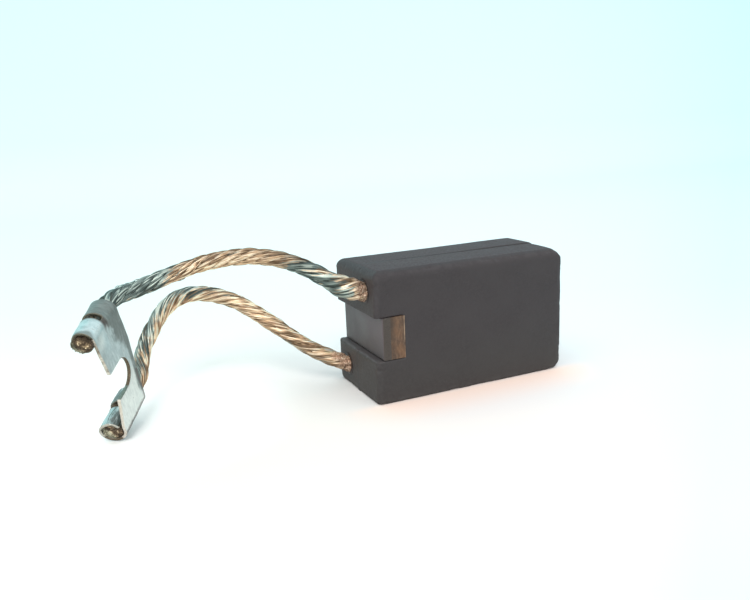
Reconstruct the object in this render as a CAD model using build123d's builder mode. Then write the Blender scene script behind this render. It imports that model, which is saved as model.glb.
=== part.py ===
from build123d import *
import math
import os

# Carbon brush made of two thin wafers, with two twisted copper shunts and one fork terminal.
# Frame: millimetres, +Z up. The origin is the middle of the carbon block's underside.
# X runs along the block, the shunts leave its -X end, and Y runs through its thickness.

# ---------------------------------------------------------------- carbon block
block_length = 33.0          # X
block_height = 20.0          # Z
wafer_thickness = 7.5        # Y, each wafer
top_edge_radius = 1.4
upright_edge_radius = 0.7    # the block's four upright corners
bottom_edge_radius = 0.4
seam_edge_chamfer = 0.22     # where the two wafers meet

notch_depth = 4.7            # X, from the shunt end
notch_bottom = 6.7           # Z
notch_top = 13.3             # Z

# ---------------------------------------------------------------- pad in the notch
pad_width = 14.9             # Y
plate_width = 14.4           # its rear end stops short of the pad's
pad_clearance = 0.1          # above and below, in Z
damping_pad_thickness = 2.3
pressure_plate_thickness = 1.3
plate_edge_radius = 0.25

# ---------------------------------------------------------------- shunts
shunt_diameter = 2.4
hole_diameter = 3.5
hole_depth = 8.0
embedded_length = 7.4        # of the shunt in its hole
embedded_diameter = 2.28     # the wires are pressed together a little by the powder
upper_hole = (-3.75, 16.65)  # (Y, Z) on the end face
lower_hole = (3.75, 3.35)
fit_gap = 0.01               # between the shunt, its tamping and its barrel

# Free routes, from the end face to the terminal's barrels.
upper_route = [
    (-16.50, -3.75, 16.65),
    (-19.08, -3.20, 17.34),
    (-22.33, -1.83, 19.50),
    (-25.82, 0.19, 21.57),
    (-29.75, 2.50, 22.59),
    (-33.86, 4.59, 22.53),
    (-38.11, 6.15, 21.67),
    (-42.50, 6.82, 20.31),
    (-46.64, 6.22, 19.22),
]
lower_route = [
    (-16.50, 3.75, 3.35),
    (-19.03, 4.47, 4.43),
    (-22.63, 5.86, 6.58),
    (-26.36, 7.96, 9.91),
    (-30.25, 10.31, 13.13),
    (-34.50, 12.48, 15.49),
    (-38.91, 14.01, 16.04),
    (-42.53, 14.40, 14.25),
    (-45.15, 13.44, 10.69),
    (-47.31, 11.13, 7.30),
]

# ---------------------------------------------------------------- terminal
# Local frame: U from the open ends of the barrels to their cord side, V from the lower barrel to
# the upper one, W square to the web on its plain side. Its origin is on the lower barrel's axis.
terminal_origin = Vector(-52.751, -0.929, 1.56)
axis_u = Vector(0.4481, 0.8342, 0.3214).normalized()
axis_w = Vector(0.8769, -0.4801, 0.0236)
axis_w = (axis_w - axis_u * axis_w.dot(axis_u)).normalized()
axis_v = axis_w.cross(axis_u).normalized()

sheet = 0.5
barrel_spacing = 14.77       # between the two barrel axes
barrel_half_w = 1.85
barrel_half_v = 1.6
barrel_length = 8.42
front_claw = (0.0, 3.95)     # along U
rear_claw = (5.1, 8.42)
claw_slit = 0.3              # between a claw's tip and the web
slot_width = 4.3             # takes an M4 screw
slot_centre_v = 6.72
slot_centre_u = 4.08         # centre of the slot's round end
core_recess = 0.1            # the cut strands end just inside the barrel


def at_terminal(u, v, w):
    return terminal_origin + axis_u * u + axis_v * v + axis_w * w


upper_route += [
    tuple(at_terminal(barrel_length + 2.2, barrel_spacing, 0)),
    tuple(at_terminal(barrel_length, barrel_spacing, 0)),
]
lower_route += [
    tuple(at_terminal(barrel_length + 2.2, 0, 0)),
    tuple(at_terminal(barrel_length, 0, 0)),
]

end_x = -block_length / 2
notch_x = end_x + notch_depth
os.makedirs("parts", exist_ok=True)


# ================================================================ carbon wafers
# Each wafer is a pressed slab. Its edges are rounded outside and only broken at the seam.
with BuildPart() as carbon_wafer_front:
    with Locations((0, -wafer_thickness / 2, block_height / 2)):
        Box(block_length, wafer_thickness, block_height)
    outer = carbon_wafer_front.faces().sort_by(Axis.Y)[0]
    seam = carbon_wafer_front.faces().sort_by(Axis.Y)[-1]
    underside = carbon_wafer_front.faces().sort_by(Axis.Z)[0]
    low_edges = underside.edges() - seam.edges()
    seam_edges = seam.edges() - underside.edges()
    high_edges = carbon_wafer_front.edges() - seam.edges() - underside.edges()
    fillet(high_edges.sort_by(Axis.Z)[2:], radius=top_edge_radius)
    outer_corners = [
        e
        for e in carbon_wafer_front.edges().filter_by(Axis.Z)
        if abs(e.center().Y + wafer_thickness) < 0.01
    ]
    fillet(outer_corners, radius=upright_edge_radius)
    low_edges = [
        e
        for e in carbon_wafer_front.edges()
        if abs(e.center().Z) < 0.01 and e.center().Y < -0.01
    ]
    fillet(low_edges, radius=bottom_edge_radius)
    chamfer(
        carbon_wafer_front.faces().sort_by(Axis.Y)[-1].edges(),
        length=seam_edge_chamfer,
    )
    # half of the notch that holds the pad
    with BuildSketch(Plane.XZ.offset(-1)) as notch_front:
        with Locations(((end_x + notch_x) / 2 - 1, (notch_bottom + notch_top) / 2)):
            Rectangle(notch_depth + 2, notch_top - notch_bottom)
    extrude(amount=wafer_thickness + 2, mode=Mode.SUBTRACT)
    # blind hole for the upper shunt
    with BuildSketch(Plane.YZ.offset(end_x)):
        with Locations(upper_hole):
            Circle(hole_diameter / 2)
    extrude(amount=hole_depth, mode=Mode.SUBTRACT)

with BuildPart() as carbon_wafer_rear:
    with Locations((0, wafer_thickness / 2, block_height / 2)):
        Box(block_length, wafer_thickness, block_height)
    seam = carbon_wafer_rear.faces().sort_by(Axis.Y)[0]
    underside = carbon_wafer_rear.faces().sort_by(Axis.Z)[0]
    high_edges = carbon_wafer_rear.edges() - seam.edges() - underside.edges()
    fillet(high_edges.sort_by(Axis.Z)[2:], radius=top_edge_radius)
    outer_corners = [
        e
        for e in carbon_wafer_rear.edges().filter_by(Axis.Z)
        if abs(e.center().Y - wafer_thickness) < 0.01
    ]
    fillet(outer_corners, radius=upright_edge_radius)
    low_edges = [
        e
        for e in carbon_wafer_rear.edges()
        if abs(e.center().Z) < 0.01 and e.center().Y > 0.01
    ]
    fillet(low_edges, radius=bottom_edge_radius)
    chamfer(
        carbon_wafer_rear.faces().sort_by(Axis.Y)[0].edges(),
        length=seam_edge_chamfer,
    )
    with BuildSketch(Plane.XZ.offset(-wafer_thickness - 1)) as notch_rear:
        with Locations(((end_x + notch_x) / 2 - 1, (notch_bottom + notch_top) / 2)):
            Rectangle(notch_depth + 2, notch_top - notch_bottom)
    extrude(amount=wafer_thickness + 2, mode=Mode.SUBTRACT)
    with BuildSketch(Plane.YZ.offset(end_x)):
        with Locations(lower_hole):
            Circle(hole_diameter / 2)
    extrude(amount=hole_depth, mode=Mode.SUBTRACT)

# ================================================================ pad in the notch
# The brown inner layer lies on the carbon, the grey plate lies on it and takes the finger.
pad_bottom = notch_bottom + pad_clearance
pad_height = notch_top - notch_bottom - 2 * pad_clearance
plate_x = notch_x - damping_pad_thickness - pressure_plate_thickness

with BuildPart() as damping_pad:
    with BuildSketch(Plane.XY.offset(pad_bottom)):
        with Locations((notch_x - damping_pad_thickness / 2, 0)):
            Rectangle(damping_pad_thickness, pad_width)
    extrude(amount=pad_height)

with BuildPart() as pressure_plate:
    with BuildSketch(Plane.XY.offset(pad_bottom)):
        with Locations(
            (plate_x + pressure_plate_thickness / 2, (plate_width - pad_width) / 2)
        ):
            Rectangle(pressure_plate_thickness, plate_width)
    extrude(amount=pad_height)
    fillet(
        pressure_plate.faces().sort_by(Axis.X)[0].edges(), radius=plate_edge_radius
    )

# ================================================================ tamped copper powder
# A sleeve between each shunt and its hole, with a solid bottom under the shunt's end.
with BuildPart() as tamping_plug_upper:
    with BuildSketch(Plane.YZ.offset(end_x)):
        with Locations(upper_hole):
            Circle(hole_diameter / 2)
    extrude(amount=hole_depth)
    with BuildSketch(Plane.YZ.offset(end_x)):
        with Locations(upper_hole):
            Circle(embedded_diameter / 2 + fit_gap)
    extrude(amount=embedded_length, mode=Mode.SUBTRACT)

with BuildPart() as tamping_plug_lower:
    with BuildSketch(Plane.YZ.offset(end_x)):
        with Locations(lower_hole):
            Circle(hole_diameter / 2)
    extrude(amount=hole_depth)
    with BuildSketch(Plane.YZ.offset(end_x)):
        with Locations(lower_hole):
            Circle(embedded_diameter / 2 + fit_gap)
    extrude(amount=embedded_length, mode=Mode.SUBTRACT)


# ================================================================ shunts
def route_facts(points, name):
    """Radius at each corner of a route: 0.45 of the shorter run over the tangent of half the turn."""
    pts = [Vector(p) for p in points]
    runs = [(b - a) for a, b in zip(pts, pts[1:])]
    radii = []
    length = sum(r.length for r in runs)
    for r1, r2 in zip(runs, runs[1:]):
        half = math.radians(r1.get_angle(r2)) / 2
        radius = 0.45 * min(r1.length, r2.length) / math.tan(half)
        radii.append(radius)
        length -= 2 * radius * math.tan(half) - 2 * radius * half
    print(name, "runs", [round(r.length, 2) for r in runs])
    print(name, "radii", [round(r, 1) for r in radii], "length", round(length, 2))
    return radii, length


upper_radii, upper_length = route_facts(upper_route, "shunt_upper")
lower_radii, lower_length = route_facts(lower_route, "shunt_lower")
lead_in = 1.2  # the first run is drawn back into the hole and trimmed at the end face


def drawn_back(points):
    first, second = Vector(points[0]), Vector(points[1])
    back = (first - second).normalized()
    return [tuple(first + back * lead_in)] + list(points[1:])


upper_drawn = drawn_back(upper_route)
lower_drawn = drawn_back(lower_route)

with BuildPart() as shunt_upper:
    with BuildLine() as upper_line:
        FilletPolyline(*upper_drawn, radius=upper_radii)
    with BuildSketch(upper_line.line ^ 0):
        Circle(shunt_diameter / 2)
    sweep()
    # trimmed flush with the end face
    with Locations((end_x + 2, upper_hole[0], upper_hole[1])):
        Box(4, 6, 6, mode=Mode.SUBTRACT)
    swept_upper = shunt_upper.part.volume
    # the length that is tamped into the carbon
    with BuildSketch(Plane.YZ.offset(end_x)):
        with Locations(upper_hole):
            Circle(embedded_diameter / 2)
    extrude(amount=embedded_length)
    # the length that is squeezed in the terminal's barrel
    with BuildSketch(
        Plane(
            origin=at_terminal(core_recess, barrel_spacing, 0),
            x_dir=axis_v,
            z_dir=axis_u,
        )
    ):
        Ellipse(barrel_half_v - sheet - fit_gap, barrel_half_w - sheet - fit_gap)
    extrude(amount=barrel_length - core_recess)

with BuildPart() as shunt_lower:
    with BuildLine() as lower_line:
        FilletPolyline(*lower_drawn, radius=lower_radii)
    with BuildSketch(lower_line.line ^ 0):
        Circle(shunt_diameter / 2)
    sweep()
    with Locations((end_x + 2, lower_hole[0], lower_hole[1])):
        Box(4, 6, 6, mode=Mode.SUBTRACT)
    swept_lower = shunt_lower.part.volume
    with BuildSketch(Plane.YZ.offset(end_x)):
        with Locations(lower_hole):
            Circle(embedded_diameter / 2)
    extrude(amount=embedded_length)
    with BuildSketch(
        Plane(origin=at_terminal(core_recess, 0, 0), x_dir=axis_v, z_dir=axis_u)
    ):
        Ellipse(barrel_half_v - sheet - fit_gap, barrel_half_w - sheet - fit_gap)
    extrude(amount=barrel_length - core_recess)

section = math.pi * shunt_diameter**2 / 4
print("shunt_upper volume", round(swept_upper, 2), "section x length", round(section * upper_length, 2))
print("shunt_lower volume", round(swept_lower, 2), "section x length", round(section * lower_length, 2))

# ================================================================ fork terminal
# One stamped sheet: a flat web with an open slot, and on each long side two claws curled round
# the shunt to the far side, with their tips turned back to the web.
with BuildPart() as terminal_lug:
    with BuildSketch(
        Plane(
            origin=at_terminal(0, 0, barrel_half_w - sheet), x_dir=axis_u, z_dir=axis_w
        )
    ) as web:
        with BuildLine():
            Polyline(
                (0.0, 0.0),
                (0.0, 0.9),
                (1.2, slot_centre_v - slot_width / 2),
                (1.03, slot_centre_v + slot_width / 2),
                (0.45, 14.0),
                (0.35, barrel_spacing),
                (8.0, barrel_spacing),
                (8.3, 10.0),
                (8.42, 5.0),
                (8.42, 0.0),
                close=True,
            )
        make_face()
        with Locations((slot_centre_u, slot_centre_v)):
            Circle(slot_width / 2, mode=Mode.SUBTRACT)
        with Locations((slot_centre_u / 2, slot_centre_v)):
            Rectangle(slot_centre_u, slot_width, mode=Mode.SUBTRACT)
    extrude(amount=sheet)
    for axis_at, side in ((0.0, 1), (barrel_spacing, -1)):
        for start, stop in (front_claw, rear_claw):
            with BuildSketch(
                Plane(
                    origin=at_terminal(start, axis_at, 0), x_dir=axis_v, z_dir=axis_u
                )
            ):
                Ellipse(barrel_half_v, barrel_half_w)
                Ellipse(barrel_half_v - sheet, barrel_half_w - sheet, mode=Mode.SUBTRACT)
                # the slit beside the claw's tip, open to the bore
                with Locations(
                    (side * 1.2, barrel_half_w - sheet - claw_slit / 2)
                ):
                    Rectangle(1.4, claw_slit, mode=Mode.SUBTRACT)
            extrude(amount=stop - start)

# ================================================================ export
carbon_wafer_front.part.label = "carbon_wafer_front"
carbon_wafer_rear.part.label = "carbon_wafer_rear"
pressure_plate.part.label = "pressure_plate"
damping_pad.part.label = "damping_pad"
tamping_plug_upper.part.label = "tamping_plug_upper"
tamping_plug_lower.part.label = "tamping_plug_lower"
shunt_upper.part.label = "shunt_upper"
shunt_lower.part.label = "shunt_lower"
terminal_lug.part.label = "terminal_lug"

export_step(carbon_wafer_front.part, "parts/carbon_wafer_front.step")
export_step(carbon_wafer_rear.part, "parts/carbon_wafer_rear.step")
export_step(pressure_plate.part, "parts/pressure_plate.step")
export_step(damping_pad.part, "parts/damping_pad.step")
export_step(tamping_plug_upper.part, "parts/tamping_plug_upper.step")
export_step(tamping_plug_lower.part, "parts/tamping_plug_lower.step")
export_step(shunt_upper.part, "parts/shunt_upper.step")
export_step(shunt_lower.part, "parts/shunt_lower.step")
export_step(terminal_lug.part, "parts/terminal_lug.step")
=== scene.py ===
import math

import bpy
import numpy as np
from mathutils import Matrix
from mathutils.geometry import delaunay_2d_cdt


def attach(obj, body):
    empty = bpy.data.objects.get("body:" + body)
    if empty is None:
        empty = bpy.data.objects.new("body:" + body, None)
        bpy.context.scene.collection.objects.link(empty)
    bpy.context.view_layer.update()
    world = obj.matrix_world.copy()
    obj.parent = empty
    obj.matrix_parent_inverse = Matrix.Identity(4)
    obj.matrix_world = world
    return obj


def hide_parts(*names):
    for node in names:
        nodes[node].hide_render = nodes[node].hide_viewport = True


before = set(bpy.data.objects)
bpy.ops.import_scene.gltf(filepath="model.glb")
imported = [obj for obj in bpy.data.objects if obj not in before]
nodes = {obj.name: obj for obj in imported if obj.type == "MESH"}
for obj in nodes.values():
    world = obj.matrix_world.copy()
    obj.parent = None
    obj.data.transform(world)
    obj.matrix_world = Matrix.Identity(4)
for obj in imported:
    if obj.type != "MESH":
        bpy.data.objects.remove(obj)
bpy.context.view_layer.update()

# Carbon brush of two thin wafers, with two twisted copper shunts and one fork terminal.
# Shapes are worked out in millimetres and written in metres.

MM = 0.001
scene = bpy.context.scene
rng = np.random.default_rng(2617)


# ---------------------------------------------------------------- small helpers
def unit(v):
    v = np.asarray(v, float)
    return v / np.maximum(np.linalg.norm(v, axis=-1, keepdims=True), 1e-12)


def smooth(x, a, b):
    t = np.clip((np.asarray(x, float) - a) / (b - a), 0, 1)
    return t * t * (3 - 2 * t)


def lattice(ix, iy, iz, seed):
    h = (ix * 374761393 + iy * 668265263 + iz * 1440662683 + seed * 974634777) & 0xFFFFFFFF
    h = ((h ^ (h >> 13)) * 1274126177) & 0xFFFFFFFF
    h = ((h ^ (h >> 16)) * 2246822519) & 0xFFFFFFFF
    return ((h >> 8) & 0xFFFF) / 65535.0


def noise3(p, size, seed=0):
    """Smooth value noise from -1 to 1. p is in millimetres and size is the size of one blob."""
    q = np.asarray(p, float) / size
    i = np.floor(q).astype(np.int64)
    f = q - i
    f = f * f * (3 - 2 * f)
    out = 0.0
    for dx in (0, 1):
        for dy in (0, 1):
            for dz in (0, 1):
                w = (
                    (f[..., 0] if dx else 1 - f[..., 0])
                    * (f[..., 1] if dy else 1 - f[..., 1])
                    * (f[..., 2] if dz else 1 - f[..., 2])
                )
                out = out + w * lattice(i[..., 0] + dx, i[..., 1] + dy, i[..., 2] + dz, seed)
    return out * 2 - 1


def noise1(x, size, seed=0):
    x = np.asarray(x, float)
    z = np.zeros_like(x)
    return noise3(np.stack([x, z + 0.37, z + 0.61], -1), size, seed)


def make(name, verts, faces, mats, face_mat=None, attrs=None, shade_smooth=True):
    """One mesh object from points in millimetres. It sits at the origin."""
    me = bpy.data.meshes.new(name)
    me.from_pydata((np.asarray(verts, float) * MM).tolist(), [], [tuple(int(i) for i in f) for f in faces])
    for m in mats:
        me.materials.append(m)
    if face_mat is not None:
        me.polygons.foreach_set("material_index", np.asarray(face_mat, np.int32))
    me.polygons.foreach_set("use_smooth", np.full(len(me.polygons), shade_smooth))
    for key, values in (attrs or {}).items():
        a = me.attributes.new(key, "FLOAT", "POINT")
        a.data.foreach_set("value", np.asarray(values, np.float32))
    me.validate(verbose=False)
    me.update()
    ob = bpy.data.objects.new(name, me)
    scene.collection.objects.link(ob)
    return ob


# ---------------------------------------------------------------- camera
az, el, roll = math.radians(23.95), math.radians(13.83), math.radians(-2.48)
fw = np.array([math.sin(az) * math.cos(el), math.cos(az) * math.cos(el), -math.sin(el)])
right = np.array([math.cos(az), -math.sin(az), 0.0])
up = np.cross(right, fw)
r2 = math.cos(roll) * right + math.sin(roll) * up
u2 = -math.sin(roll) * right + math.cos(roll) * up
cam_data = bpy.data.cameras.new("camera")
cam_data.sensor_fit = "HORIZONTAL"
cam_data.sensor_width = 36.0
cam_data.lens = 36.0 * 697.1 / 750.0
cam_data.clip_start = 0.001
cam_data.clip_end = 10.0
camera = bpy.data.objects.new("camera", cam_data)
scene.collection.objects.link(camera)
m = Matrix.Identity(4)
for col, vec in enumerate((r2, u2, -fw)):
    for row in range(3):
        m[row][col] = float(vec[row])
for row, value in enumerate((-0.05533, -0.09514, 0.03976)):
    m[row][3] = value
camera.matrix_world = m
scene.camera = camera
scene.view_settings.view_transform = "Standard"
scene.view_settings.look = "None"


# ---------------------------------------------------------------- materials
class Tree:
    """A material's nodes, made by short calls."""

    def __init__(self, name):
        self.mat = bpy.data.materials.new(name)
        self.mat.use_nodes = True
        self.n = self.mat.node_tree.nodes
        self.l = self.mat.node_tree.links
        self.n.clear()
        self.out = self.n.new("ShaderNodeOutputMaterial")
        self.bsdf = self.n.new("ShaderNodeBsdfPrincipled")
        self.l.new(self.bsdf.outputs[0], self.out.inputs["Surface"])

    def plug(self, socket, value):
        if isinstance(value, bpy.types.NodeSocket):
            self.l.new(value, socket)
        else:
            socket.default_value = value

    def position(self):
        return self.n.new("ShaderNodeTexCoord").outputs["Object"]

    def attribute(self, name):
        a = self.n.new("ShaderNodeAttribute")
        a.attribute_name = name
        return a.outputs["Fac"]

    def stretch(self, scale, location=(0, 0, 0), source=None):
        a = self.n.new("ShaderNodeMapping")
        self.l.new(source or self.position(), a.inputs["Vector"])
        a.inputs["Scale"].default_value = scale
        a.inputs["Location"].default_value = location
        return a.outputs[0]

    def noise(self, size_mm, detail=4.0, rough=0.55, vector=None, distortion=0.0):
        a = self.n.new("ShaderNodeTexNoise")
        self.l.new(vector or self.position(), a.inputs["Vector"])
        a.inputs["Scale"].default_value = 1000.0 / size_mm
        a.inputs["Detail"].default_value = detail
        a.inputs["Roughness"].default_value = rough
        a.inputs["Distortion"].default_value = distortion
        return a.outputs["Fac"]

    def cells(self, size_mm, vector=None, feature="F1", output="Distance"):
        a = self.n.new("ShaderNodeTexVoronoi")
        a.feature = feature
        self.l.new(vector or self.position(), a.inputs["Vector"])
        a.inputs["Scale"].default_value = 1000.0 / size_mm
        return a.outputs[output]

    def ramp(self, value, stops):
        a = self.n.new("ShaderNodeValToRGB")
        self.l.new(value, a.inputs["Fac"])
        e = a.color_ramp.elements
        while len(e) < len(stops):
            e.new(0.5)
        for item, (at, colour) in zip(e, stops):
            item.position = at
            if isinstance(colour, (int, float)):
                colour = (colour, colour, colour)
            item.color = (*colour, 1.0)
        return a.outputs["Color"]

    def math(self, op, a, b=0.0, c=0.0):
        x = self.n.new("ShaderNodeMath")
        x.operation = op
        for i, v in enumerate((a, b, c)):
            self.plug(x.inputs[i], v)
        return x.outputs[0]

    def span(self, value, lo, hi, to_lo=0.0, to_hi=1.0):
        x = self.n.new("ShaderNodeMapRange")
        x.interpolation_type = "SMOOTHSTEP"
        for key, v in (("Value", value), ("From Min", lo), ("From Max", hi), ("To Min", to_lo), ("To Max", to_hi)):
            self.plug(x.inputs[key], v)
        return x.outputs[0]

    def mix(self, factor, a, b, blend="MIX"):
        x = self.n.new("ShaderNodeMix")
        x.data_type = "RGBA"
        x.blend_type = blend
        self.plug(x.inputs[0], factor)
        for i, v in ((6, a), (7, b)):
            if isinstance(v, tuple) and len(v) == 3:
                v = (*v, 1.0)
            self.plug(x.inputs[i], v)
        return x.outputs[2]

    def xyz(self, source=None):
        x = self.n.new("ShaderNodeSeparateXYZ")
        self.l.new(source or self.position(), x.inputs[0])
        return x.outputs

    def bump(self, height, strength, depth_mm, under=None):
        x = self.n.new("ShaderNodeBump")
        x.inputs["Strength"].default_value = strength
        x.inputs["Distance"].default_value = depth_mm * MM
        self.plug(x.inputs["Height"], height)
        if under is not None:
            self.l.new(under, x.inputs["Normal"])
        return x.outputs[0]

    def finish(self, colour=None, rough=None, metal=None, normal=None, specular=None, ior=None):
        for key, v in (("Base Color", colour), ("Roughness", rough), ("Metallic", metal), ("Normal", normal),
                       ("Specular IOR Level", specular), ("IOR", ior)):
            if v is not None:
                if isinstance(v, tuple) and len(v) == 3:
                    v = (*v, 1.0)
                self.plug(self.bsdf.inputs[key], v)
        return self.mat


def carbon_material():
    """Pressed electrographite: matt dark grey, faint blotches, fine grain, a few duller pores and shiny flakes."""
    t = Tree("carbon")
    blotch = t.noise(6.0, 3.0, 0.5)
    grain = t.noise(0.35, 5.0, 0.65)
    fine = t.noise(0.12, 3.0, 0.6)
    base = t.ramp(blotch, [(0.3, (0.0238, 0.0205, 0.0234)), (0.7, (0.0305, 0.0268, 0.0294))])
    base = t.mix(t.span(grain, 0.35, 0.7), base, (0.0355, 0.0312, 0.0340))
    flakes = t.cells(0.22)
    base = t.mix(t.span(flakes, 0.16, 0.05, 0.0, 0.5), base, (0.066, 0.060, 0.066))
    pores = t.cells(0.55)
    base = t.mix(t.span(pores, 0.12, 0.04, 0.0, 0.6), base, (0.012, 0.011, 0.011))
    worn = t.math("MULTIPLY", t.attribute("edge"), t.span(t.noise(1.2, 3.0), 0.35, 0.65))
    base = t.mix(t.math("MULTIPLY", worn, 0.32), base, (0.056, 0.051, 0.055))
    # painted light: the top is tinted redder and less green and blue, to take off the blue sky light on it, and the end
    # with the shunts is painted lighter and warmer, as if lit by the copper
    base = t.mix(t.attribute("top"), base, (1.04, 0.62, 0.66), "MULTIPLY")
    base = t.mix(t.attribute("end_face_light"), base, (1.16, 1.06, 0.98), "MULTIPLY")
    base = t.mix(t.attribute("low"), base, (1.02, 1.12, 1.03), "MULTIPLY")
    # painted light: the ledge under the pad is lightened against the shade on it
    base = t.mix(t.attribute("ledge_painted_light"), base, (2.0, 1.85, 1.80), "MULTIPLY")
    base = t.mix(t.math("MULTIPLY", t.attribute("crease"), 0.75), base, (0.012, 0.011, 0.011))
    rough = t.span(grain, 0.3, 0.7, 0.56, 0.72)
    height = t.math("ADD", t.math("MULTIPLY", grain, 0.7), t.math("MULTIPLY", fine, 0.3))
    height = t.math("SUBTRACT", height, t.span(pores, 0.12, 0.03, 0.0, 0.6))
    t.bsdf.inputs["Specular Tint"].default_value = (1.0, 0.925, 0.915, 1.0)
    return t.finish(base, rough, 0.0, t.bump(height, 0.6, 0.04), specular=0.38)


def plate_material():
    """The pad's outer layer: smooth blue-grey fibre sheet, a little dirty towards its lower edge."""
    t = Tree("plate")
    cloud = t.noise(3.5, 3.0)
    weave = t.noise(0.3, 3.0, 0.6, vector=t.stretch((1, 1, 2.5)))
    base = t.ramp(cloud, [(0.3, (0.068, 0.054, 0.060)), (0.7, (0.092, 0.072, 0.080))])
    low = t.span(t.math("ADD", t.xyz()[2], t.math("MULTIPLY", t.xyz()[1], -0.25)), 0.0085, 0.0135, 1.0, 0.0)
    base = t.mix(t.math("MULTIPLY", low, 0.7), base, (0.036, 0.029, 0.029))
    side = t.span(t.xyz()[1], -0.00738, -0.00744)
    base = t.mix(side, base, t.ramp(weave, [(0.3, (0.032, 0.024, 0.020)), (0.7, (0.052, 0.041, 0.035))]))
    base = t.mix(t.span(t.cells(0.5), 0.1, 0.03, 0.0, 0.5), base, (0.030, 0.028, 0.028))
    return t.finish(base, t.span(cloud, 0.3, 0.7, 0.42, 0.55), 0.0, t.bump(weave, 0.35, 0.03), specular=0.45)


def pad_material():
    """The pad's inner layer: brown fibre, copper dust in it, with a pale glue line on the carbon."""
    t = Tree("pad")
    strand = t.noise(0.5, 4.0, 0.6, vector=t.stretch((1.6, 1, 0.55)))
    cloud = t.noise(1.8, 3.0, 0.5)
    base = t.ramp(cloud, [(0.32, (0.062, 0.043, 0.034)), (0.68, (0.142, 0.077, 0.044))])
    base = t.mix(t.span(strand, 0.38, 0.72, 0.0, 0.55), base, (0.185, 0.112, 0.070))
    base = t.mix(t.span(t.cells(0.35), 0.14, 0.03, 0.0, 0.7), base, (0.055, 0.040, 0.032))
    x = t.xyz()[0]
    glue = t.math("MULTIPLY", t.span(x, -0.01198, -0.01190), t.span(t.noise(0.9, 2.0), 0.3, 0.5, 0.35, 1.0))
    z = t.xyz()[2]
    base = t.mix(t.math("MULTIPLY", glue, t.span(z, 0.0085, 0.0105, 0.2, 0.9)), base, (0.28, 0.20, 0.140))
    joint = t.math("MULTIPLY", t.span(x, -0.0129, -0.0140), t.span(z, 0.0085, 0.0125, 0.45, 0.85))
    base = t.mix(joint, base, (0.050, 0.038, 0.031))
    return t.finish(base, 0.78, 0.0, t.bump(t.math("ADD", strand, t.cells(0.3)), 0.6, 0.05), specular=0.25)


def copper_powder_material():
    """Tamped copper powder: granular, orange, with dark gaps and bright grains."""
    t = Tree("copper_powder")
    grains = t.cells(0.24)
    tint = t.noise(0.5, 3.0)
    base = t.ramp(tint, [(0.3, (0.22, 0.130, 0.090)), (0.55, (0.42, 0.27, 0.19)), (0.75, (0.80, 0.62, 0.48))])
    base = t.mix(t.span(grains, 0.45, 0.62, 0.0, 0.85), base, (0.10, 0.048, 0.030))
    dirt = t.attribute("dirt")
    base = t.mix(t.math("MULTIPLY", dirt, 0.96), base, (0.034, 0.029, 0.030))
    height = t.math("SUBTRACT", 1.0, grains)
    return t.finish(base, t.span(tint, 0.3, 0.7, 0.38, 0.55), 0.8, t.bump(height, 0.9, 0.07))


def cord_material():
    """Bare copper wires, tarnished grey-green in long patches and golden between them, with painted glints, painted
    reflection and painted shade.
    """
    t = Tree("copper_cord")
    wire = t.attribute("wire")
    patina_and_reflection = t.attribute("patina_and_reflection")
    dust = t.attribute("dust")
    cloud = t.noise(1.1, 3.0, 0.6)
    # wire tone: tarnish that differs at random from wire to wire and along each, its bright cream end a painted glint
    gold = t.ramp(wire, [(0.0, (0.17, 0.105, 0.060)), (0.3, (0.43, 0.287, 0.180)), (0.62, (0.72, 0.508, 0.322)), (1.0, (1.0, 0.835, 0.635))])
    gold = t.mix(t.span(cloud, 0.45, 0.7, 0.0, 0.42), gold, (0.62, 0.39, 0.265))
    grey = t.ramp(wire, [(0.0, (0.058, 0.082, 0.079)), (0.4, (0.148, 0.198, 0.190)), (0.75, (0.258, 0.318, 0.300)), (1.0, (0.55, 0.63, 0.57))])
    mask = t.span(t.math("ADD", patina_and_reflection, t.math("MULTIPLY", t.math("SUBTRACT", cloud, 0.5), 0.7)), 0.35, 0.65)
    base = t.mix(mask, gold, grey)
    # copper powder in the wires, its brightest grains painted glints
    base = t.mix(dust, base, t.ramp(t.noise(0.25, 3.0), [(0.3, (0.20, 0.120, 0.085)), (0.5, (0.42, 0.27, 0.19)), (0.7, (0.86, 0.70, 0.56))]))
    # painted shade in the grooves between the strands and between the wires, and on the strands inside the barrels
    groove_shade = t.attribute("groove_shade")
    base = t.mix(t.math("MULTIPLY", groove_shade, 0.54), base, (0.092, 0.075, 0.054))
    # painted light and shade along each cord
    base = t.mix(1.0, base, t.attribute("painted_light_gain"), "MULTIPLY")
    rough = t.math("ADD", t.span(cloud, 0.3, 0.7, 0.38, 0.54), t.math("MULTIPLY", dust, 0.15))
    height = t.math("ADD", t.noise(0.10, 2.0, 0.5), t.math("MULTIPLY", t.math("SUBTRACT", 1.0, t.cells(0.26)), t.math("MULTIPLY", dust, 3.0)))
    return t.finish(base, rough, 0.92, t.bump(height, 0.45, 0.035))


def cut_wire_material():
    """Cut ends of the wires in the barrels: dark brown, with a few bright copper tips and a painted glint."""
    t = Tree("cut_wires")
    wire = t.attribute("wire")
    base = t.ramp(wire, [(0.0, (0.070, 0.050, 0.034)), (0.5, (0.185, 0.130, 0.085)), (0.75, (0.40, 0.29, 0.185)), (1.0, (0.88, 0.72, 0.50))])
    base = t.mix(t.span(t.noise(0.6, 3.0), 0.45, 0.65, 0.0, 0.5), base, (0.045, 0.030, 0.022))
    olive = t.ramp(wire, [(0.0, (0.100, 0.098, 0.070)), (0.5, (0.24, 0.235, 0.170)), (1.0, (0.56, 0.54, 0.42))])
    base = t.mix(t.math("MULTIPLY", t.attribute("grey"), 0.85), base, olive)
    return t.finish(base, 0.38, 0.8, t.bump(t.noise(0.08, 2.0), 0.4, 0.02))


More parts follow.
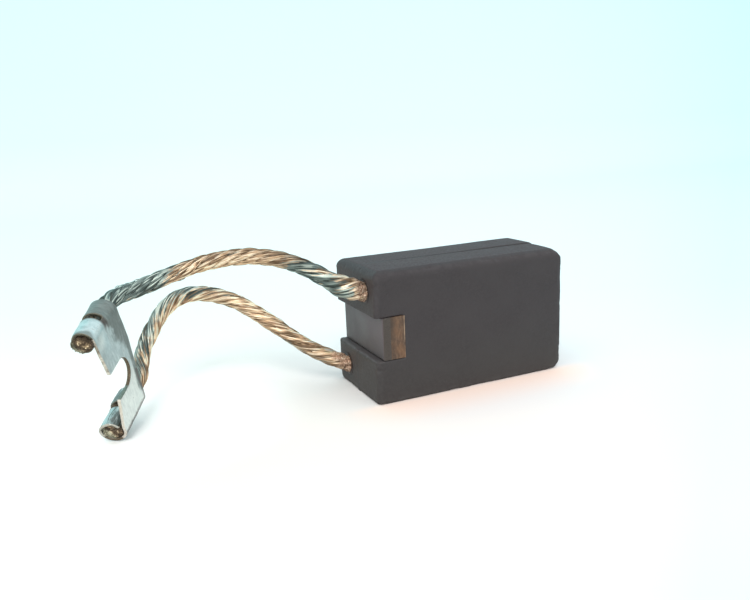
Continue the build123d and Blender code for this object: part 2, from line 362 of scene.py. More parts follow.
def tin_material():
    """Tin plating on thin sheet: blue-white where it is bright, grey-green and brown where it is stained, with a
    painted blue-white sky reflection on parts of it.
    """
    t = Tree("tin")
    u, v = t.attribute("u_mm"), t.attribute("v_mm")
    flat = t.n.new("ShaderNodeCombineXYZ")
    t.plug(flat.inputs[0], u)
    t.plug(flat.inputs[1], v)
    flow = t.stretch((0.0028, 0.0007, 0.001), source=flat.outputs[0])
    streak = t.noise(1.0, 5.0, 0.65, vector=flow)
    # on the lower barrel the streaks run along it
    barrel = t.span(v, -0.7, -0.3, 1.0, 0.0)
    along = t.noise(1.0, 4.0, 0.6, vector=t.stretch((0.0005, 0.0036, 0.001), source=flat.outputs[0]))
    streak = t.mix(barrel, streak, along)
    cloud = t.noise(1.6, 4.0, 0.6)
    fine = t.noise(0.25, 4.0, 0.6)
    bright = t.ramp(streak, [(0.25, (0.29, 0.355, 0.355)), (0.5, (0.44, 0.515, 0.515)), (0.75, (0.66, 0.72, 0.715))])
    stained = t.ramp(streak, [(0.25, (0.115, 0.138, 0.132)), (0.55, (0.205, 0.232, 0.222)), (0.8, (0.33, 0.36, 0.345))])
    tone = t.attribute("stain")
    lines = t.math("MULTIPLY", barrel, t.math("MULTIPLY", t.math("SUBTRACT", 0.5, along), 2.6))
    mask = t.span(t.math("ADD", t.math("ADD", tone, lines), t.math("MULTIPLY", t.math("SUBTRACT", cloud, 0.5), 1.1)), 0.22, 0.80)
    base = t.mix(mask, bright, stained)
    # painted reflection of the blue sky: blue-white on the web under the upper claw and on the lower claw
    sky_reflection = t.attribute("sky_reflection")
    base = t.mix(t.math("MULTIPLY", t.math("SUBTRACT", sky_reflection, t.math("MULTIPLY", barrel, t.math("MULTIPLY", mask, 0.6))), 0.8), base, t.ramp(t.noise(0.8, 5.0, 0.7), [(0.32, (0.30, 0.41, 0.425)), (0.5, (0.47, 0.60, 0.615)), (0.68, (0.66, 0.77, 0.78))]))
    # pale: paler tin on the lower web, and a painted highlight on the web near the upper barrel's mouth
    pale = t.attribute("pale")
    base = t.mix(t.math("MULTIPLY", pale, 0.85), base, t.ramp(streak, [(0.25, (0.58, 0.605, 0.575)), (0.7, (0.84, 0.85, 0.80))]))
    spots = t.span(t.noise(0.8, 5.0, 0.7), 0.60, 0.74, 0.0, 0.6)
    base = t.mix(spots, base, (0.13, 0.14, 0.125))
    # brown: stains round the claws' gaps, a dark line along the lower bend, and a painted shade line along the web's
    # right border
    brown = t.attribute("brown")
    base = t.mix(brown, base, (0.078, 0.058, 0.050))
    rough = t.math("ADD", t.span(streak, 0.3, 0.7, 0.30, 0.44), t.math("MULTIPLY", mask, 0.10))
    height = t.math("ADD", t.math("MULTIPLY", streak, 0.6), t.math("MULTIPLY", fine, 0.4))
    return t.finish(base, rough, 0.82, t.bump(height, 0.45, 0.035))


def edge_material():
    """The sheet's sheared edge: bare brass-coloured metal, darkened, with shear lines across it."""
    t = Tree("raw_edge")
    dark = t.attribute("edge_dark")
    lines = t.noise(0.25, 4.0, 0.7)
    pale = t.ramp(lines, [(0.3, (0.46, 0.41, 0.355)), (0.55, (0.63, 0.58, 0.515)), (0.75, (0.77, 0.73, 0.67))])
    brown = t.ramp(lines, [(0.3, (0.070, 0.052, 0.036)), (0.7, (0.19, 0.145, 0.095))])
    mask = t.span(t.math("ADD", dark, t.math("MULTIPLY", t.math("SUBTRACT", t.noise(0.9, 3.0), 0.5), 0.9)), 0.3, 0.7)
    base = t.mix(mask, pale, brown)
    tin = t.ramp(lines, [(0.3, (0.105, 0.125, 0.105)), (0.6, (0.21, 0.25, 0.215))])
    base = t.mix(t.attribute("edge_tin"), base, tin)
    return t.finish(base, 0.45, 0.75, t.bump(lines, 0.5, 0.03))


CARBON = carbon_material()
PLATE = plate_material()
PAD = pad_material()
POWDER = copper_powder_material()
CORD = cord_material()
CUT = cut_wire_material()
TIN = tin_material()
EDGE = edge_material()


# ---------------------------------------------------------------- carbon wafers
def wafer(node, name, side):
    """The wafer's solid, remeshed evenly, with fine unevenness, softened edges and a few small chips."""
    src = nodes[node]
    work = src.data.copy()
    work.transform(Matrix.Scale(1000.0, 4))
    holder = bpy.data.objects.new("work", work)
    scene.collection.objects.link(holder)
    weld = holder.modifiers.new("weld", "WELD")
    weld.merge_threshold = 0.002
    rem = holder.modifiers.new("remesh", "REMESH")
    rem.mode = "VOXEL"
    rem.voxel_size = 0.175
    rem.adaptivity = 0.0
    bpy.context.view_layer.update()
    dg = bpy.context.evaluated_depsgraph_get()
    me = bpy.data.meshes.new_from_object(holder.evaluated_get(dg))
    bpy.data.objects.remove(holder)
    n = len(me.vertices)
    p = np.zeros(n * 3)
    me.vertices.foreach_get("co", p)
    p = p.reshape(-1, 3)
    nrm = np.zeros(n * 3)
    me.vertices.foreach_get("normal", nrm)
    nrm = nrm.reshape(-1, 3)
    x0, x1, y_out, z1 = -16.5, 16.5, side * 7.5, 20.0
    # how near each point is to one of the block's long edges and corners
    dx = np.minimum(np.abs(p[:, 0] - x0), np.abs(p[:, 0] - x1))
    dy = np.abs(p[:, 1] - y_out)
    dz_top, dz_low = np.abs(p[:, 2] - z1), np.abs(p[:, 2])
    dz = np.minimum(dz_top, dz_low)
    order = np.sort(np.stack([dx, dy, dz], -1), axis=1)
    edge = 1 - smooth(order[:, 1], 0.35, 1.1)
    notch = (p[:, 0] < -11.7) & (np.minimum(np.abs(p[:, 2] - 6.7), np.abs(p[:, 2] - 13.3)) < 0.3)
    rim = np.minimum(dy, np.abs(p[:, 0] - x0))
    edge = np.maximum(edge, np.where(notch, 0.3 * (1 - smooth(rim, 0.15, 0.6)), 0))
    # at its shunt end the two wafers touch and the joint hardly shows
    near_seam = (np.abs(p[:, 1]) < 0.32) & (p[:, 2] > 19.5)
    close_up = near_seam * (p[:, 0] > -15.1) * (1 - smooth(p[:, 0], -14, 6)) * 0.95
    p[:, 2] += close_up * np.clip(20.0 - p[:, 2], 0, 1)
    from_axis = p[:, [0, 2]] - np.array([-15.1, 18.6])
    away = np.linalg.norm(from_axis, axis=1)
    turned = (np.abs(p[:, 1]) < 0.32) & (p[:, 0] <= -15.1) & (p[:, 2] >= 18.6) & (away > 0.8)
    out = np.where(turned, np.maximum(1.4 / np.maximum(away, 0.1), 1.0), 1.0)
    p[:, 0] = np.where(turned, -15.1 + from_axis[:, 0] * out, p[:, 0])
    p[:, 2] = np.where(turned, 18.6 + from_axis[:, 1] * out, p[:, 2])
    # unevenness of the pressed and ground surface
    d = 0.016 * noise3(p, 1.9, 3) + 0.010 * noise3(p, 0.7, 5) + 0.008 * noise3(p, 0.36, 7)
    free = smooth(np.abs(p[:, 1]), 0.05, 0.5)
    p = p + nrm * (d * free)[:, None]
    # worn and chipped edges
    chip = np.clip(noise3(p, 0.9, 11) - 0.35, 0, 1) * 0.30 + np.clip(noise3(p, 2.6, 13) - 0.45, 0, 1) * 0.35
    p = p - nrm * (chip * edge * free)[:, None]
    # the end away from the shunts has a broken lower corner
    for corner, direction, cut, soft in (
        (np.array([16.5, side * 7.5, 0.0]), np.array([0.66, side * 0.10, -0.75]), 1.05 if side < 0 else 0.45, 0.12),
        (np.array([16.5, side * 7.5, 20.0]), np.array([0.66, side * 0.22, 0.68]), 0.95 if side < 0 else 0.6, 0.5),
        (np.array([-16.5, side * 7.5, 0.0]), np.array([-0.6, side * 0.55, -0.6]), 0.42 if side < 0 else 0.6, 0.3),
        (np.array([-16.5, side * 3.0, 6.7]), np.array([-0.7, 0.0, 0.7]), 0.16, 0.3),
    ):
        direction = direction / np.linalg.norm(direction)
        over = (p - corner) @ direction + cut + 0.12 * noise3(p, 0.8, 17)
        near = 1 - smooth(np.linalg.norm(p - corner, axis=1), 3.5, 6.0)
        # rounded off more than cut
        over = 0.5 * (over + np.sqrt(over ** 2 + (soft * cut) ** 2)) - 0.06 * soft * cut
        p = p - direction * (np.clip(over, 0, None) * near)[:, None]
    p[:, 2] = np.maximum(p[:, 2], 0.0)
    p[:, 2] = np.minimum(p[:, 2], 20.05)
    # the flanks of the joint stay on their own side
    if side < 0:
        p[:, 1] = np.minimum(p[:, 1], -0.004)
    else:
        p[:, 1] = np.maximum(p[:, 1], 0.004)
    crease = (1 - smooth(np.abs(p[:, 1]), 0.06, 0.24)) * smooth(p[:, 0], -15, 4)
    # at the shunt end the joint is rubbed full, and the block runs out a little at the far end
    fill = (np.abs(p[:, 1]) < 0.30) & (p[:, 0] < -16.15) & (p[:, 2] < 18.6)
    p[:, 0] = np.where(fill, np.minimum(p[:, 0], -16.495), p[:, 0])
    p[:, 0] += (0.2 if side < 0 else 0.42) * smooth(p[:, 0], 12.5, 15.0)
    if side > 0:
        p[:, 2] += 0.10 * smooth(p[:, 0], -2.0, 14.0) * smooth(p[:, 2], 12.0, 19.0)
    # masks for the painted light on the top face and on the end face with the shunts
    top = smooth(nrm[:, 2], 0.93, 1.0) * (p[:, 2] > 19.0)
    end_face_light = smooth(-nrm[:, 0], 0.80, 0.98)
    low = 1 - smooth(p[:, 2], 1.0, 13.0)
    # mask for the painted light on the ledge under the pad
    ledge_painted_light = smooth(nrm[:, 2], 0.4, 0.85) * (np.abs(p[:, 2] - 6.7) < 0.6) * (p[:, 0] < -15.2)
    me.vertices.foreach_set("co", (p * MM).ravel())
    me.materials.clear()
    me.materials.append(CARBON)
    me.polygons.foreach_set("use_smooth", np.full(len(me.polygons), True))
    for key, values in (("edge", edge), ("crease", crease), ("top", top), ("end_face_light", end_face_light), ("low", low), ("ledge_painted_light", ledge_painted_light)):
        a = me.attributes.new(key, "FLOAT", "POINT")
        a.data.foreach_set("value", np.asarray(values, np.float32))
    me.update()
    me.set_sharp_from_angle(angle=math.radians(38))
    ob = bpy.data.objects.new(name, me)
    scene.collection.objects.link(ob)
    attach(ob, "root")
    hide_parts(node)
    return ob


wafer("carbon_wafer_front", "wafer_front", -1)
wafer("carbon_wafer_rear", "wafer_rear", 1)

# ---------------------------------------------------------------- pad in the notch
for node, mat in (("pressure_plate", PLATE), ("damping_pad", PAD)):
    data = nodes[node].data
    data.materials.clear()
    data.materials.append(mat)

# ---------------------------------------------------------------- terminal frame
O = np.array([-52.751, -0.929, 1.56])
U = unit([0.4481, 0.8342, 0.3214])
W = np.array([0.8769, -0.4801, 0.0236])
W = unit(W - U * W.dot(U))
V = np.cross(W, U)
SPACING, LENGTH = 14.77, 8.42


def lug_point(u, v, w):
    u, v, w = (np.asarray(a, float)[..., None] for a in (u, v, w))
    return O + U * u + V * v + W * w


# ---------------------------------------------------------------- shunts
UPPER = [
    (-16.50, -3.75, 16.65), (-19.08, -3.20, 17.34), (-22.33, -1.83, 19.50), (-25.82, 0.19, 21.57),
    (-29.75, 2.50, 22.59), (-33.86, 4.59, 22.53), (-38.11, 6.15, 21.67), (-42.50, 6.82, 20.31),
    (-46.64, 6.22, 19.22), tuple(lug_point(LENGTH + 2.2, SPACING, 0)), tuple(lug_point(LENGTH, SPACING, 0)),
]
LOWER = [
    (-16.50, 3.75, 3.35), (-19.03, 4.47, 4.43), (-22.63, 5.86, 6.58), (-26.36, 7.96, 9.91),
    (-30.25, 10.31, 13.13), (-34.50, 12.48, 15.49), (-38.91, 14.01, 16.04), (-42.53, 14.40, 14.25),
    (-45.15, 13.44, 10.69), (-47.31, 11.13, 7.30), tuple(lug_point(LENGTH + 2.2, 0, 0)), tuple(lug_point(LENGTH, 0, 0)),
]


def spline_line(route):
    """The line of the route's own NURBS spline, in millimetres."""
    cu = bpy.data.curves.new("route", "CURVE")
    cu.dimensions = "3D"
    cu.resolution_u = 24
    sp = cu.splines.new("NURBS")
    sp.points.add(len(route) - 1)
    for q, pt in zip(sp.points, route):
        q.co = (*[c * MM for c in pt], 1.0)
    sp.order_u = 3
    sp.use_endpoint_u = True
    ob = bpy.data.objects.new("route", cu)
    scene.collection.objects.link(ob)
    bpy.context.view_layer.update()
    me = bpy.data.meshes.new_from_object(ob)
    line = np.array([v.co for v in me.vertices], float) * 1000.0
    bpy.data.objects.remove(ob)
    return line


def evenly(line, step):
    s = np.r_[0, np.cumsum(np.linalg.norm(np.diff(line, axis=0), axis=1))]
    n = max(2, int(round(s[-1] / step)) + 1)
    at = np.linspace(0, s[-1], n)
    return np.stack([np.interp(at, s, line[:, i]) for i in range(3)], -1), at


def turned_frames(P, start=(0, 0, 1)):
    """Tangents and two side directions that don't twist along the line."""
    T = unit(np.gradient(P, axis=0))
    N = np.zeros_like(T)
    n = np.asarray(start, float)
    for i, t in enumerate(T):
        n = n - t * n.dot(t)
        n = n / np.linalg.norm(n)
        N[i] = n
    return T, N, np.cross(T, N)


def tube(C, R, profile, turn, first_cap=True, last_cap=True):
    """Rings of points along C. profile is one ring's radii, R scales them and turn twists each ring."""
    T, N, B = turned_frames(C, start=(0.31, 0.17, 0.93))
    n, k = len(C), len(profile)
    a = np.arange(k) * 2 * math.pi / k
    ang = a[None, :] + turn[:, None]
    rad = R[:, None] * profile[None, :]
    ring = C[:, None, :] + rad[..., None] * (
        np.cos(ang)[..., None] * N[:, None, :] + np.sin(ang)[..., None] * B[:, None, :]
    )
    verts = ring.reshape(-1, 3)
    i = np.arange(n - 1)[:, None] * k
    j = np.arange(k)[None, :]
    jn = (j + 1) % k
    quads = np.stack([i + j, i + jn, i + k + jn, i + k + j], -1).reshape(-1, 4)
    faces = [tuple(q) for q in quads.tolist()]
    extra = []
    if first_cap:
        c = len(verts) + len(extra)
        extra.append(C[0])
        faces += [(c, (x + 1) % k, x) for x in range(k)]
    if last_cap:
        c = len(verts) + len(extra)
        extra.append(C[-1])
        base = (n - 1) * k
        faces += [(c, base + x, base + (x + 1) % k) for x in range(k)]
    if extra:
        verts = np.vstack([verts, np.array(extra)])
    return verts, faces, rad, ang


WIRES = 18
lobe = np.tile([0.0, 1.0, 1.0], WIRES)


def rope(name, route, seed, flare, patina_at, gain_at, lay_at, dust_to, pitch, flat_w, sway=0.0, squeeze=3.2, above=0.26):
    """Six strands round one, left-hand lay, each strand a bunch of fine wires."""
    line = spline_line(route)
    P, s = evenly(line, 0.26)
    total = s[-1]
    # a short lead into the hole, then the free length, then the length in the barrel
    back = unit(P[0] - P[1])
    lead = P[0] + back * np.array([1.04, 0.78, 0.52, 0.26])[:, None]
    end_dir = -U
    k_in = int((LENGTH - 1.3) / 0.26)
    tail = P[-1] + end_dir * (np.arange(1, k_in + 1) * 0.26)[:, None]
    path = np.vstack([lead, P, tail])
    at = np.r_[-1.04, -0.78, -0.52, -0.26, s, total + np.arange(1, k_in + 1) * 0.26]
    T, N, B = turned_frames(path)
    near_block = (1 - smooth(at, 2.2, 7.0)) * (0.5 + 0.5 * smooth(at, 0.2, 2.2))
    # the lay is a little shorter where the cord is open at the block, and uneven along it
    rate = (1 + 0.22 * flare / 0.4 * near_block) * (1 + 0.10 * noise1(at, 5.0, seed + 1))
    theta0 = -2 * math.pi / pitch * np.cumsum(rate * np.gradient(at)) + seed
    spread = 1 + flare * near_block
    spread *= 1 + 0.045 * noise1(at, 2.3, seed + 2)
    press = smooth(at, total - squeeze, total + 0.2)
    path = path + (sway * press)[:, None] * W
    path = path + 0.06 * np.stack([noise1(at, 4.3, seed + 11 + i) for i in range(3)], -1) * (smooth(at, 1.0, 4.0) * (1 - press))[:, None]
    free_parts, held_parts = [], []
    cut = len(lead) + len(P)
    for strand in range(7):
        core = strand == 6
        th = theta0 + strand * math.pi / 3 + 0.17 * noise1(at, 3.4, seed + 20 + strand)
        rc = np.zeros_like(at) if core else 0.70 * spread * (1 + 0.085 * noise1(at, 2.6, seed + 40 + strand))
        off = (np.cos(th)[:, None] * N + np.sin(th)[:, None] * B) * rc[:, None]
        ov, ow = off @ V, off @ W
        off = off + press[:, None] * ((0.86 - 1) * ov[:, None] * V + (flat_w - 1) * ow[:, None] * W)
        centre = path + off
        radius = (0.42 if core else 0.507) * spread * (1 + 0.09 * noise1(at, 2.2, seed + 60 + strand))
        radius = radius * (1 - 0.06 * press)
        prof = 0.85 + 0.15 * lobe if not core else np.full(16, 1.0)
        lay = 2 * math.pi * np.cumsum(lay_at(at) * np.gradient(at)) + strand
        for first, last, parts in ((0, cut, free_parts), (cut - 1, len(at), held_parts)):
            verts, faces, rad, ang = tube(centre[first:last], radius[first:last], prof, lay[first:last])
            n, k = rad.shape
            w_id = np.arange(k) // 3 if not core else np.arange(k) // 2
            wire_rand = lattice(w_id, np.full(k, strand + 1), np.full(k, 3), seed)
            sa = at[first:last]
            along = noise3(np.stack([np.repeat(sa[:, None], k, 1), np.repeat(w_id[None, :] * 3.7, n, 0), np.full((n, k), strand * 5.3)], -1), 1.0, seed + 5)
            # wire tone: random per wire and along it, the brightest parts painted glints
            wire = np.clip(0.42 + 1.0 * (wire_rand[None, :] - 0.5) + 1.15 * along, 0, 1)
            ring = verts[: n * k].reshape(n, k, 3)
            # the wires are not all drawn equally tight
            slack = noise3(np.stack([np.repeat(sa[:, None], k, 1) / 0.8, np.repeat(w_id[None, :] * 2.3, n, 0), np.full((n, k), strand * 3.1)], -1), 1.0, seed + 31)
            ring += (ring - centre[first:last][:, None, :]) * (0.07 * slack)[..., None]
            outward = ring - path[first:last][:, None, :]
            reach = np.linalg.norm(outward, axis=-1)
            outward = outward / np.maximum(reach, 1e-6)[..., None]
            rmax = (1.19 * spread[first:last])[:, None]
            # painted shade: darker in the grooves between the strands and between the wires
            groove_shade = 0.85 * (1 - smooth(reach / rmax, 0.74, 0.92))
            groove_shade = np.maximum(groove_shade, (1 - lobe)[None, :] if not core else 1.0)
            # painted reflection: from about 7 mm out the wires facing up are greyer and those facing down more golden,
            # slightly the other way round near the block, and wires facing -x are a little greyer
            tarnish_and_reflection = patina_at(sa)[:, None] + (-0.16 + (above + 0.16) * smooth(sa, 7, 24))[:, None] * outward[..., 2] - 0.10 * outward[..., 0]
            tarnish_and_reflection = tarnish_and_reflection + 0.15 * noise3(np.stack([np.repeat(sa[:, None], k, 1), np.full((n, k), strand * 4.1), np.full((n, k), 0.5)], -1), 3.5, seed + 9)
            # some wires are duller than their neighbours
            fleck = noise3(np.stack([np.repeat(sa[:, None], k, 1) / 1.8, np.repeat(w_id[None, :] * 5.9, n, 0), np.full((n, k), strand * 2.7)], -1), 1.0, seed + 13)
            tarnish_and_reflection = tarnish_and_reflection + 0.26 * (lattice(w_id, np.full(k, strand + 1), np.full(k, 8), seed)[None, :] - 0.5) + 0.24 * fleck
            ragged = 0.9 * noise3(ring, 0.8, seed + 15)
            # the powder reaches further out on the upper side
            dust = 1 - smooth(sa[:, None] + ragged - 1.1 * outward[..., 2], dust_to * 0.35, dust_to)
            # painted light and shade, by place along the cord and by which way the wires face
            painted_light_gain = np.broadcast_to(gain_at(sa[:, None], outward[..., 2]), (n, k))
            if first:
                # painted shade on the strands inside the barrel
                deep = LENGTH - (sa - total) < 6.9
                groove_shade = np.maximum(groove_shade, np.where(deep, 0.8, 0.25)[:, None])
            else:
                # copper powder sits in the wires next to the block
                grit = (0.07 * noise3(ring, 0.26, seed + 17) + 0.03 * noise3(ring, 0.13, seed + 18)) * dust
                ring += outward * grit[..., None]
            pad_n = len(verts) - n * k
            parts.append((verts, faces, [
                np.r_[x.ravel(), np.full(pad_n, 0.1)] for x in (wire, np.clip(tarnish_and_reflection, 0, 1), dust, np.broadcast_to(groove_shade, (n, k)), painted_light_gain)
            ]))
    return path, P, total, free_parts, held_parts


def joined(parts):
    verts, faces, attrs, base = [], [], [], 0
    for v, f, a in parts:
        verts.append(v)
        faces += [tuple(i + base for i in face) for face in f]
        attrs.append(a)
        base += len(v)
    return np.vstack(verts), faces, [np.concatenate([a[i] for a in attrs]) for i in range(len(attrs[0]))]


def loose_wire(points, radius, wire_tone, patina_and_reflection, dust=0.0):
    """One fine wire that has sprung out of the cord."""
    pts = np.array(points, float)
    s = np.r_[0, np.cumsum(np.linalg.norm(np.diff(pts, axis=0), axis=1))]
    at = np.linspace(0, s[-1], max(6, int(s[-1] / 0.12)))
    # a smooth line through the points
    line = np.stack([np.interp(at, s, pts[:, i]) for i in range(3)], -1)
    for _ in range(6):
        line[1:-1] = 0.25 * line[:-2] + 0.5 * line[1:-1] + 0.25 * line[2:]
    verts, faces, rad, ang = tube(line, np.full(len(line), radius), np.ones(6), np.zeros(len(line)))
    n = len(verts)
    return verts, faces, [np.full(n, wire_tone), np.full(n, patina_and_reflection), np.full(n, dust), np.zeros(n), np.ones(n)]


def upper_patina(s):
    # grey-green near the block, golden in the middle, grey-green again towards the terminal
    a = smooth(s, 1.2, 2.6) * (1 - smooth(s, 9.0, 15.0))
    b = smooth(s, 27.0, 32.0)
    return 0.10 + 0.60 * a + 0.82 * b


def lower_patina(s):
    a = smooth(s, 22.0, 29.0)
    b = np.exp(-((s - 7.0) / 3.5) ** 2)
    return 0.12 + 0.32 * a + 0.18 * b


def upper_gain(s, up):
    # painted light and shade: along its middle it is darker, darkest on top and a little lighter underneath towards its
    # far end; elsewhere its top is painted lighter
    a = smooth(s, 7.0, 10.0) * (1 - smooth(s, 27.0, 32.0))
    return (1 - a) * (0.94 + 0.08 * smooth(s, 24.0, 30.0) + 0.16 * up) + a * (0.66 + 0.27 * smooth(s, 12.0, 17.0) - 0.36 * up + 0.22 * smooth(s, 20.0, 25.0) * np.maximum(-up, 0))


def upper_lay(s):
    # turns of the wires in a strand per millimetre
    return -1 / 36 + (1 / 18 + 1 / 36) * smooth(s, 11.0, 20.0)


def lower_lay(s):
    return -1 / 21 + 0.0 * s


def lower_gain(s, up):
    # painted light and shade: the top is lighter, most near the block; darker a few millimetres out; lighter far out,
    # most underneath, and again near the terminal
    near = (1 - smooth(s, 9.0, 13.0)) * smooth(s, 2.5, 5.0)
    mouth = 1 - smooth(s, 3.0, 5.5)
    far = smooth(s, 23.0, 27.0)
    return (
        1 - 0.30 * near + (0.50 + 1.35 * near + 1.2 * mouth - 0.80 * far) * np.maximum(up - 0.2, 0)
        + (0.22 + 0.24 * np.maximum(-up, 0)) * far + 0.20 * smooth(s, 35.0, 40.0)
    )


u_path, u_line, u_total, u_free, u_held = rope("upper", UPPER, 4, 0.42, upper_patina, upper_gain, upper_lay, 1.9, 12.2, 1.06)
l_path, l_line, l_total, l_free, l_held = rope("lower", LOWER, 9, 0.05, lower_patina, lower_gain, lower_lay, 3.0, 12.6, 0.94, sway=-0.36, squeeze=4.2, above=0.34)


def sprung(path_line, count, seed, lo, hi, patina_and_reflection):
    """Fine wires that stand a little off the cord."""
    r = np.random.default_rng(seed)
    T, N, B = turned_frames(path_line)
    s = np.r_[0, np.cumsum(np.linalg.norm(np.diff(path_line, axis=0), axis=1))]
    out = []
    for _ in range(count):
        start = r.uniform(lo, hi)
        i = int(np.searchsorted(s, start))
        i = min(max(i, 1), len(s) - 14)
        run = int(r.integers(5, 11))
        phi = r.uniform(0, 2 * math.pi)
        lift = r.uniform(0.03, 0.20)
        pts = []
        for k in range(run + 1):
            f = k / run
            a = phi - 2 * math.pi * (s[i + k] - s[i]) / 12.0
            rr = 1.14 + lift * math.sin(math.pi * f)
            pts.append(path_line[i + k] + (math.cos(a) * N[i + k] + math.sin(a) * B[i + k]) * rr)
        out.append(loose_wire(pts, 0.045, r.uniform(0.4, 1.0), patina_and_reflection))
    return out


u_free += sprung(u_line, 12, 3, 26.0, 39.0, 0.9) + sprung(u_line, 12, 5, 4.0, 26.0, 0.3)
l_free += sprung(l_line, 22, 8, 2.0, 44.0, 0.3)


def lean_of(points, key):
    """How far a barrel's axis leans off the web's frame, growing to its open end."""
    u = (np.asarray(points) - O) @ U
    f = np.clip(1 - u / LENGTH, 0, 1)
    if key == "upper":
        return -0.28 * f, 0.18 * f
    return 0.0 * f, -0.12 * f


for key, parts, held in (("upper", u_free, u_held), ("lower", l_free, l_held)):
    verts, faces, attrs = joined(parts)
    ob = make("shunt_rope_" + key, verts, faces, [CORD], attrs=dict(zip(("wire", "patina_and_reflection", "dust", "groove_shade", "painted_light_gain"), attrs)))
    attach(ob, "root")
    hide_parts("shunt_" + key)
    verts, faces, attrs = joined(held)
    # they swell into the gap between the claws
    axis = O + (V * SPACING if key == "upper" else 0)
    from_axis = verts - axis
    along = from_axis @ U
    sideways = from_axis - along[:, None] * U
    swell = 0.50 * np.exp(-((along - 4.12) / 0.42) ** 2) * smooth(np.linalg.norm(sideways, axis=1), 0.5, 1.0)
    verts = verts + unit(sideways) * swell[:, None]
    dv, dw = lean_of(verts, key)
    verts = verts + dv[:, None] * V + dw[:, None] * W
    # in that gap they are painted darker brown as shade, with less of the painted groove shade than inside the claws
    open_here = np.exp(-((along - 4.12) / 0.6) ** 4)
    attrs[0] = attrs[0] * (1 - 0.7 * open_here) + 0.10 * open_here
    attrs[1] = (0.85 if key == "upper" else 0.45) * (1 - 0.4 * open_here)
    attrs[2] = attrs[2] * 0
    attrs[3] = attrs[3] * (1 - 0.8 * open_here)
    attrs[4] = 1 - 0.72 * open_here
    inner = make("held_strands_" + key, verts, faces, [CORD], attrs=dict(zip(("wire", "patina_and_reflection", "dust", "groove_shade", "painted_light_gain"), attrs)))
    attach(inner, "root")
    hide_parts("shunt_" + key)


